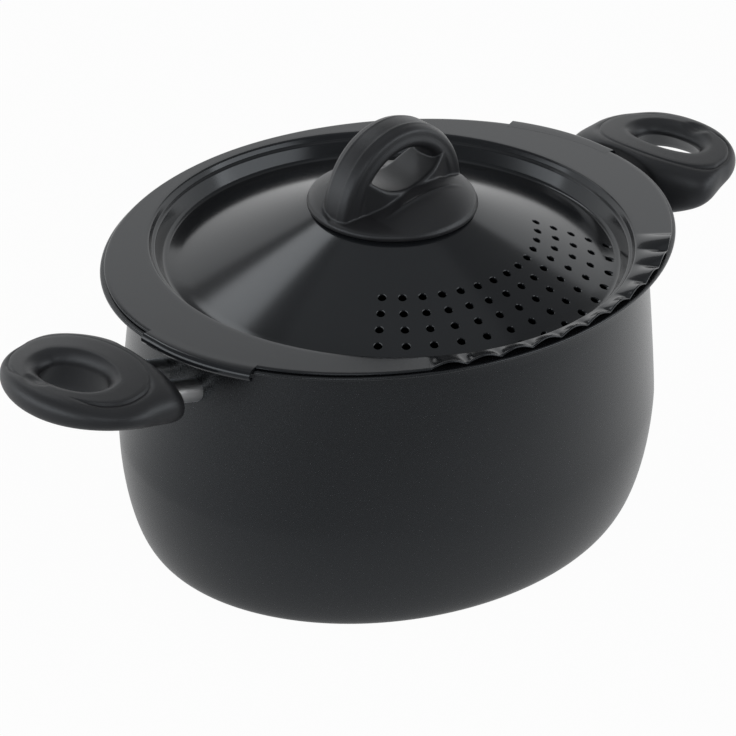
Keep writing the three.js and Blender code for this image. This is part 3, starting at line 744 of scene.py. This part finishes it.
def lid_tree():
    inputs = [
        ("Sheet", "NodeSocketGeometry"),
        ("Hook", "NodeSocketObject"),
        ("Wave Height", "NodeSocketFloat"),
        ("Wave Count", "NodeSocketFloat"),
        ("Wave Start", "NodeSocketFloat"),
        ("Hole Pitch Angle", "NodeSocketFloat"),
        ("Hole Columns", "NodeSocketInt"),
        ("Hole Rows", "NodeSocketInt"),
        ("First Row Radius", "NodeSocketFloat"),
        ("Row Pitch", "NodeSocketFloat"),
        ("Drain Centre", "NodeSocketFloat"),
        ("Cone Base Radius", "NodeSocketFloat"),
        ("Cone Base Height", "NodeSocketFloat"),
        ("Cone Rise", "NodeSocketFloat"),
        ("Hole Radius", "NodeSocketFloat"),
        ("Chamfer", "NodeSocketFloat"),
        ("Material", "NodeSocketMaterial"),
    ]
    tree, start, end = new_group(
        "strainer_lid", "GeometryNodeTree", inputs, [("Geometry", "NodeSocketGeometry")]
    )
    get = start.outputs
    position = tree.nodes.new("GeometryNodeInputPosition").outputs[0]
    split = tree.nodes.new("ShaderNodeSeparateXYZ")
    tree.links.new(position, split.inputs[0])
    angle = sums(tree, "ARCTAN2", split.outputs["Y"], split.outputs["X"])
    phase = sums(tree, "DIVIDE", sums(tree, "SUBTRACT", angle, get["Wave Start"]), get["Hole Pitch Angle"])
    inside = sums(
        tree,
        "MULTIPLY",
        sums(tree, "GREATER_THAN", phase, 0),
        sums(tree, "LESS_THAN", phase, get["Wave Count"]),
    )
    arch = sums(tree, "ABSOLUTE", sums(tree, "SINE", sums(tree, "MULTIPLY", phase, math.pi)))
    share = tree.nodes.new("GeometryNodeInputNamedAttribute")
    share.data_type = "FLOAT"
    share.inputs["Name"].default_value = "wave_share"
    height = sums(tree, "MULTIPLY", get["Wave Height"], share.outputs["Attribute"])
    lift = sums(tree, "MULTIPLY", sums(tree, "MULTIPLY", arch, inside), height)
    fluted = tree.nodes.new("GeometryNodeSetPosition")
    tree.links.new(get["Sheet"], fluted.inputs["Geometry"])
    tree.links.new(combine(tree, 0, 0, lift), fluted.inputs["Offset"])

    hook = tree.nodes.new("GeometryNodeObjectInfo")
    tree.links.new(get["Hook"], hook.inputs["Object"])
    hooked = tree.nodes.new("GeometryNodeMeshBoolean")
    hooked.operation = "UNION"
    hooked.solver = "MANIFOLD"
    for turn in (0, math.pi):
        turned = tree.nodes.new("GeometryNodeTransform")
        turned.inputs["Rotation"].default_value = (0, 0, turn)
        tree.links.new(hook.outputs["Geometry"], turned.inputs["Geometry"])
        tree.links.new(turned.outputs[0], hooked.inputs[1])
    tree.links.new(fluted.outputs[0], hooked.inputs[1])

    index = tree.nodes.new("GeometryNodeInputIndex").outputs[0]
    row = sums(tree, "FLOOR", sums(tree, "DIVIDE", index, get["Hole Columns"]))
    column = sums(tree, "MODULO", index, get["Hole Columns"])
    middle = sums(tree, "DIVIDE", sums(tree, "SUBTRACT", get["Hole Columns"], 1), 2)
    turn = sums(tree, "MULTIPLY", sums(tree, "SUBTRACT", column, middle), get["Hole Pitch Angle"])
    turn = sums(tree, "ADD", turn, get["Drain Centre"])
    radius = sums(
        tree, "SUBTRACT", get["First Row Radius"], sums(tree, "MULTIPLY", row, get["Row Pitch"])
    )
    climb = sums(
        tree,
        "MULTIPLY",
        sums(tree, "SUBTRACT", get["Cone Base Radius"], radius),
        sums(tree, "TANGENT", get["Cone Rise"]),
    )
    level = sums(tree, "SUBTRACT", sums(tree, "ADD", get["Cone Base Height"], climb), get["Chamfer"])
    place = combine(
        tree,
        sums(tree, "MULTIPLY", radius, sums(tree, "COSINE", turn)),
        sums(tree, "MULTIPLY", radius, sums(tree, "SINE", turn)),
        level,
    )
    points = tree.nodes.new("GeometryNodePoints")
    tree.links.new(sums(tree, "MULTIPLY", get["Hole Columns"], get["Hole Rows"]), points.inputs["Count"])
    tree.links.new(place, points.inputs["Position"])
    punch = tree.nodes.new("GeometryNodeMeshCylinder")
    punch.inputs["Vertices"].default_value = 24
    punch.inputs["Side Segments"].default_value = 2
    tree.links.new(get["Hole Radius"], punch.inputs["Radius"])
    tree.links.new(sums(tree, "MULTIPLY", get["Hole Radius"], 2), punch.inputs["Depth"])
    punch_split = tree.nodes.new("ShaderNodeSeparateXYZ")
    tree.links.new(position, punch_split.inputs[0])
    flare = sums(tree, "ADD", 1, sums(tree, "GREATER_THAN", punch_split.outputs["Z"], 0.0001))
    flared = tree.nodes.new("GeometryNodeSetPosition")
    tree.links.new(punch.outputs["Mesh"], flared.inputs["Geometry"])
    tree.links.new(
        combine(
            tree,
            sums(tree, "MULTIPLY", punch_split.outputs["X"], flare),
            sums(tree, "MULTIPLY", punch_split.outputs["Y"], flare),
            punch_split.outputs["Z"],
        ),
        flared.inputs["Position"],
    )
    punches = tree.nodes.new("GeometryNodeInstanceOnPoints")
    tree.links.new(points.outputs[0], punches.inputs["Points"])
    tree.links.new(flared.outputs[0], punches.inputs["Instance"])
    tree.links.new(combine(tree, 0, get["Cone Rise"], turn), punches.inputs["Rotation"])
    real = tree.nodes.new("GeometryNodeRealizeInstances")
    tree.links.new(punches.outputs[0], real.inputs[0])
    punched = tree.nodes.new("GeometryNodeMeshBoolean")
    punched.operation = "DIFFERENCE"
    punched.solver = "MANIFOLD"
    tree.links.new(hooked.outputs[0], punched.inputs[0])
    tree.links.new(real.outputs[0], punched.inputs[1])
    whole = tree.nodes.new("GeometryNodeRealizeInstances")
    tree.links.new(punched.outputs[0], whole.inputs[0])
    coat = tree.nodes.new("GeometryNodeSetMaterial")
    tree.links.new(whole.outputs[0], coat.inputs["Geometry"])
    tree.links.new(get["Material"], coat.inputs["Material"])
    tree.links.new(coat.outputs[0], end.inputs[0])
    return tree


lid_coat = finish(
    "lid_coat", (0.008, 0.009, 0.0105), (0.011, 0.012, 0.014), 0.13, 0.17, 1400.0, 0.002, specular=0.5
)
pan_loops, pan_waves = lid_loops()
lid_sheet = skinned("lid_sheet", list(reversed(pan_loops)), wrap=True)
wave_share = lid_sheet.data.attributes.new("wave_share", "FLOAT", "POINT")
wave_share.data.foreach_set("value", [w for w in reversed(pan_waves) for _ in range(lid_angles)])
hook = capped("hook", hook_loops())
lid_values = {
    "Hook": hook,
    "Wave Height": wave_height * millimetre,
    "Wave Count": float(wave_count),
    "Wave Start": wave_start,
    "Hole Pitch Angle": hole_pitch_angle,
    "Hole Columns": hole_columns,
    "Hole Rows": hole_rows,
    "First Row Radius": hole_first_radius * millimetre,
    "Row Pitch": hole_row_pitch * millimetre,
    "Drain Centre": drain_centre,
    "Cone Base Radius": cone_start * millimetre,
    "Cone Base Height": groove_height * millimetre,
    "Cone Rise": cone_rise,
    "Hole Radius": hole_radius * millimetre,
    "Chamfer": hole_chamfer * millimetre,
    "Material": lid_coat,
}
strainer_lid = grown(lid_sheet, lid_tree(), lid_values, "strainer_lid")
bpy.data.objects.remove(hook)
strainer_lid.data.polygons.foreach_set("use_smooth", [True] * len(strainer_lid.data.polygons))
strainer_lid.data.set_sharp_from_angle(angle=math.radians(32))
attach(strainer_lid, "lid")
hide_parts("lid_pan")

# Knob: one moulding in the grips' soft-touch plastic. A round base carries two leaf panels, one each side,
# and a web joins the feet of the broad loop that stands on it along X.
# It is screwed down from under the lid, on a thin rubber ring.
knob_radius = 36.8
knob_edge_low = 147.15
knob_edge_top = 149.75
knob_floor = 148.6
knob_segments = 240
knob_dome = 3.2
knob_dome_power = 0.6
leaf_rise = 9.5
leaf_start = 27.6
leaf_summit = 9.5
leaf_start_reach = 8.8
leaf_reach = 12.4
leaf_edge = 8
leaf_panel_power = 0.75
leaf_end_power = 0.6
rib_rise = 0.4
rib_width = 0.7
rib_reach = (17, 18.5)
rib_half_run = 18
rib_fade_in = (-22, -8)
rib_fade_out = (16, 24)
web_rise = 9.2
web_sweep = 7.9
web_half_length = 18.8
web_half_width = 12
web_taper = 3.5
web_taper_start = 12
web_twist = 0.16
web_edge = 1.8
web_end = 25
web_steps = 120
loop_half_length = 28.2
loop_foot = 149.8
loop_top = 180.45
loop_foot_thickness = 12
loop_top_thickness = 11
loop_foot_width = 17
loop_top_width = 20
loop_corner_power = 0.7
loop_valley = 0.08
loop_valley_place = 0.62
loop_valley_width = 0.2
loop_crease = 0.3
loop_crease_place = 0.45
loop_crease_width = 0.5
loop_steps = 160
loop_points = 96
knob_voxel = 0.42


def leaf_crest(x):
    """Where a leaf's crest runs at x: how far it stands from the loop's middle, and how high."""
    climb = min(1, max(0, (x + leaf_start) / (leaf_summit + leaf_start)))
    past = min(1, max(0, (x - leaf_summit) / (knob_radius - leaf_summit)))
    high = leaf_rise * math.sin(climb * math.pi / 2) * math.cos(past * math.pi / 2) ** leaf_end_power
    return lerp(leaf_start_reach, leaf_reach, climb) * math.sqrt(1 - past**3), high


def leaf(x, y):
    """Height of one leaf over the base's edge: a domed panel outside its crest, a steep fall inside."""
    reach, high = leaf_crest(x)
    fall = max(0, 1 - (math.hypot(x, y) / knob_radius) ** 2)
    crest_fall = max(0.05, 1 - (math.hypot(x, reach) / knob_radius) ** 2)
    panel = high * min(1, fall / crest_fall) ** leaf_panel_power
    rib_middle = lerp(*rib_reach, (x + rib_half_run) / (2 * rib_half_run))
    rib = rib_rise * math.exp(-(((-y - rib_middle) / rib_width) ** 2))
    rib *= smoothstep(*rib_fade_in, x) * (1 - smoothstep(*rib_fade_out, x))
    return (panel + rib) * smoothstep(reach - leaf_edge, reach, -y)


def knob_top(radius, angle):
    x = radius * math.cos(angle)
    y = radius * math.sin(angle)
    dome = knob_dome * max(0, 1 - (radius / knob_radius) ** 2) ** knob_dome_power
    return x, y, knob_edge_top + max(dome, leaf(x, y), leaf(-x, -y))


def knob_base_loops():
    def level(radius, height):
        return [(radius * math.cos(a), radius * math.sin(a), height) for a in turns(knob_segments)]

    loops = [
        level(seat_radius - sheet, knob_floor),
        level(knob_radius - 1.2, knob_edge_low),
        level(knob_radius - 0.3, knob_edge_low + 0.35),
        level(knob_radius, knob_edge_low + 0.9),
        level(knob_radius, knob_edge_top - 0.5),
        level(knob_radius - 0.25, knob_edge_top - 0.12),
    ]
    for step in range(1, 100):
        radius = (knob_radius - 0.5) * (1 - step / 100)
        loops.append([knob_top(radius, a) for a in turns(knob_segments)])
    return loops


def web_top(x, y):
    """The web's top sweeps up to the loop at both ends, and stops at the middle of the loop."""
    sweep = web_sweep * ((x - web_twist * y) / web_half_length) ** 2
    middle = lerp(loop_foot, loop_top, math.sqrt(1 - (x / loop_half_length) ** 2))
    return min(knob_edge_top + web_rise + sweep, middle)


def web_loops():
    """Sections across the web, each with rounded upper edges and a flat foot inside the base."""
    shares = [math.cos(math.pi * i / 48) for i in range(49)]
    loops = []
    for step in range(web_steps + 1):
        x = lerp(-web_end, web_end, step / web_steps)
        half_width = web_half_width - web_taper * smoothstep(web_taper_start, web_end, abs(x))
        loop = []
        for share in shares:
            y = share * half_width
            past = max(0, (abs(y) - half_width) / web_edge + 1)
            loop.append((x, y, web_top(x, y) - web_edge * (1 - math.sqrt(max(0, 1 - past**2)))))
        loops.append(loop + [(x, -half_width, loop_foot), (x, half_width, loop_foot)])
    return loops


def loop_section(around, thickness, width):
    """One point of the loop's section: out along its thickness, and across its width."""
    cosine = math.cos(around)
    sine = math.sin(around)
    out = thickness * bent(cosine, loop_corner_power)
    side = width * bent(sine, loop_corner_power)
    share = (out / thickness + 1) / 2
    side *= 1 - loop_valley * math.exp(-(((share - loop_valley_place) / loop_valley_width) ** 2))
    off_crease = (abs(side) - loop_crease_place * width) / loop_crease_width
    crease = loop_crease * math.exp(-(off_crease**2)) * smoothstep(0.3, 0.7, cosine)
    return out + crease, side


def knob_loop_loops():
    loops = []
    for step in range(loop_steps + 1):
        angle = math.pi * (1 - step / loop_steps)
        up = math.sin(angle)
        thickness = lerp(loop_foot_thickness, loop_top_thickness, up) / 2
        width = lerp(loop_foot_width, loop_top_width, up) / 2
        middle_x = loop_half_length * math.cos(angle)
        middle_z = lerp(loop_foot, loop_top, up)
        loop = []
        for around in turns(loop_points):
            out, side = loop_section(around, thickness, width)
            loop.append((middle_x + out * math.cos(angle), -side, middle_z + out * math.sin(angle)))
        loops.append(loop)
    return loops


def middle_of(loop):
    return tuple(sum(values) / len(loop) for values in zip(*loop))


knob_base = skinned("knob_base", knob_base_loops(), (0, 0, knob_floor), knob_top(0, 0))
arch = knob_loop_loops()
knob_loop = skinned("knob_loop", arch, middle_of(arch[0]), middle_of(arch[-1]))
web_sections = web_loops()
knob_web = skinned("knob_web", web_sections, (-web_end, 0, loop_foot), (web_end, 0, loop_foot))
bpy.ops.object.select_all(action="DESELECT")
for piece in (knob_base, knob_loop, knob_web):
    piece.select_set(True)
bpy.context.view_layer.objects.active = knob_base
bpy.ops.object.join()
remesh = knob_base.modifiers.new("one_moulding", "REMESH")
remesh.mode = "VOXEL"
remesh.voxel_size = knob_voxel * millimetre
relax = knob_base.modifiers.new("blend", "SMOOTH")
relax.factor = 0.5
relax.iterations = 2
graph = bpy.context.evaluated_depsgraph_get()
knob = bpy.data.objects.new("knob", bpy.data.meshes.new_from_object(knob_base.evaluated_get(graph)))
bpy.context.scene.collection.objects.link(knob)
bpy.data.objects.remove(knob_base)
knob.data.polygons.foreach_set("use_smooth", [True] * len(knob.data.polygons))
knob.data.materials.clear()
knob.data.materials.append(soft_touch)
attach(knob, "lid")
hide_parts("lid_knob")

gasket_rubber = finish(
    "gasket_rubber", (0.006, 0.006, 0.006), (0.012, 0.012, 0.012), 0.7, 0.9, 1800.0, 0.03
)
dress("knob_gasket", gasket_rubber)
dress("knob_insert", brass)
dress("knob_screw", polished_steel)
dress("screw_washer", polished_steel)

# Floor and light: a plain white sweep that turns up into a wall all round, broad soft panels to the left
# and right of the pot, weak ones overhead and high behind, and a weak key from the front left.
# The sweep is white to the camera and keeps the shadow. In reflections its glow carries painted shade:
# bright behind the pot, dark towards the front.
floor_drop = 0.0004
floor_segments = 96
floor_grey = (0.65, 0.65, 0.65, 1)
floor_camera_white = 0.97
floor_away_x = 0.66
floor_away_y = 0.75
painted_reflection_shade_from = (-0.3, 0.2)
painted_reflection_shade_to = (0.05, 0.97)
world_strength = 0.26
sweep_profile = [(3.0, 0.0), (3.3, 0.05), (3.6, 0.2), (3.82, 0.45), (3.94, 0.75), (4.0, 1.1), (4.0, 2.6)]
sweep_points = [(0, 0, -floor_drop)]
sweep_faces = []
for radius, height in sweep_profile:
    for a in turns(floor_segments):
        sweep_points.append((radius * math.cos(a), radius * math.sin(a), height - floor_drop))
for j in range(floor_segments):
    k = (j + 1) % floor_segments
    sweep_faces.append((0, 1 + j, 1 + k))
    for i in range(len(sweep_profile) - 1):
        here = 1 + i * floor_segments
        there = here + floor_segments
        sweep_faces.append((here + j, there + j, there + k, here + k))
floor_mesh = bpy.data.meshes.new("floor")
floor_mesh.from_pydata(sweep_points, [], sweep_faces)
floor_mesh.polygons.foreach_set("use_smooth", [True] * len(floor_mesh.polygons))
floor = bpy.data.objects.new("floor", floor_mesh)
bpy.context.scene.collection.objects.link(floor)
floor_paint = bpy.data.materials.new("floor_paint")
floor_paint.use_nodes = True
floor_tree = floor_paint.node_tree
floor_nodes = floor_tree.nodes
floor_links = floor_tree.links
floor_matt = floor_nodes["Principled BSDF"]
floor_matt.inputs["Base Color"].default_value = floor_grey
floor_matt.inputs["Roughness"].default_value = 0.9
floor_matt.inputs["Specular IOR Level"].default_value = 0.1
floor_white = floor_nodes.new("ShaderNodeEmission")
floor_ray = floor_nodes.new("ShaderNodeLightPath")
floor_place = floor_nodes.new("ShaderNodeTexCoord")
floor_split = floor_nodes.new("ShaderNodeSeparateXYZ")
floor_links.new(floor_place.outputs["Object"], floor_split.inputs[0])
# Painted shade in reflections: glossy and transmission rays see the sweep glow brightly behind the pot and
# dimly in front of it.
floor_behind = sums(
    floor_tree,
    "ADD",
    sums(floor_tree, "MULTIPLY", floor_split.outputs["X"], floor_away_x),
    sums(floor_tree, "MULTIPLY", floor_split.outputs["Y"], floor_away_y),
)
painted_reflection_shade = floor_nodes.new("ShaderNodeMapRange")
painted_reflection_shade.inputs["From Min"].default_value = painted_reflection_shade_from[0]
painted_reflection_shade.inputs["From Max"].default_value = painted_reflection_shade_from[1]
painted_reflection_shade.inputs["To Min"].default_value = painted_reflection_shade_to[0]
painted_reflection_shade.inputs["To Max"].default_value = painted_reflection_shade_to[1]
floor_links.new(floor_behind, painted_reflection_shade.inputs["Value"])
floor_through = sums(
    floor_tree, "MAXIMUM", floor_ray.outputs["Is Glossy Ray"], floor_ray.outputs["Is Transmission Ray"]
)
floor_share = sums(
    floor_tree,
    "MAXIMUM",
    sums(floor_tree, "MULTIPLY", floor_through, painted_reflection_shade.outputs["Result"]),
    sums(floor_tree, "MULTIPLY", floor_ray.outputs["Is Camera Ray"], floor_camera_white),
)
floor_mix = floor_nodes.new("ShaderNodeMixShader")
floor_links.new(floor_share, floor_mix.inputs[0])
floor_links.new(floor_matt.outputs[0], floor_mix.inputs[1])
floor_links.new(floor_white.outputs[0], floor_mix.inputs[2])
floor_links.new(floor_mix.outputs[0], floor_nodes["Material Output"].inputs["Surface"])
floor_mesh.materials.append(floor_paint)

world = bpy.data.worlds.new("studio")
world.use_nodes = True
world.node_tree.nodes["Background"].inputs["Color"].default_value = (1, 1, 1, 1)
world.node_tree.nodes["Background"].inputs["Strength"].default_value = world_strength
bpy.context.scene.world = world


def soft_panel(name, place, aim, width, height, power):
    light = bpy.data.lights.new(name, "AREA")
    light.shape = "RECTANGLE"
    light.size = width
    light.size_y = height
    light.energy = power
    panel = bpy.data.objects.new(name, light)
    panel.location = place
    panel.rotation_euler = (Vector(aim) - Vector(place)).to_track_quat("-Z", "Y").to_euler()
    panel.visible_camera = False
    bpy.context.scene.collection.objects.link(panel)


pot_middle = (0, 0, 0.08)
soft_panel("panel_back", (0.09, 1.25, 1.4), pot_middle, 0.45, 0.45, 1.5)
soft_panel("panel_over", (0.1, 0.1, 1.9), pot_middle, 1.4, 1.4, 1.0)
soft_panel("panel_right", (0.85, -1.45, 0.65), pot_middle, 1.6, 0.9, 9.0)
soft_panel("panel_left", (-1.7, 0.33, 0.5), pot_middle, 2.2, 0.8, 12.0)
soft_panel("panel_key", (-1.15, -1.3, 1.3), pot_middle, 0.8, 0.8, 4.0)

# Camera: the photograph's view, from the front left and above, through a long lens.
# It stands on a line from the rim's middle, and looks a little aside of it, with a slight roll.
camera_distance = 1352.77
place_turn = math.radians(-41.3746)
place_tilt = math.radians(27.5209)
aim_turn = math.radians(-40.9108)
aim_tilt = math.radians(29.8848)
aim_roll = math.radians(0.6089)
picture_width = 736
focal_length = 3130
sensor_width = 36


def towards(turn, tilt):
    """The direction to a camera at a turn from -Y about Z and a tilt above the floor."""
    return Vector((math.sin(turn) * math.cos(tilt), -math.cos(turn) * math.cos(tilt), math.sin(tilt)))


camera_place = Vector((0, 0, rim_height)) + camera_distance * towards(place_turn, place_tilt)
back = towards(aim_turn, aim_tilt)
level = Vector((math.cos(aim_turn), math.sin(aim_turn), 0))
upright = back.cross(level)
right = level * math.cos(aim_roll) + upright * math.sin(aim_roll)
top = upright * math.cos(aim_roll) - level * math.sin(aim_roll)
lens = bpy.data.cameras.new("camera")
lens.sensor_width = sensor_width
lens.lens = focal_length * sensor_width / picture_width
lens.clip_start = 0.05
lens.clip_end = 50
camera = bpy.data.objects.new("camera", lens)
camera_turned = Matrix((right, top, back)).transposed().to_4x4()
camera.matrix_world = Matrix.Translation(camera_place * millimetre) @ camera_turned
bpy.context.scene.collection.objects.link(camera)
bpy.context.scene.camera = camera
bpy.context.scene.view_settings.view_transform = "Standard"
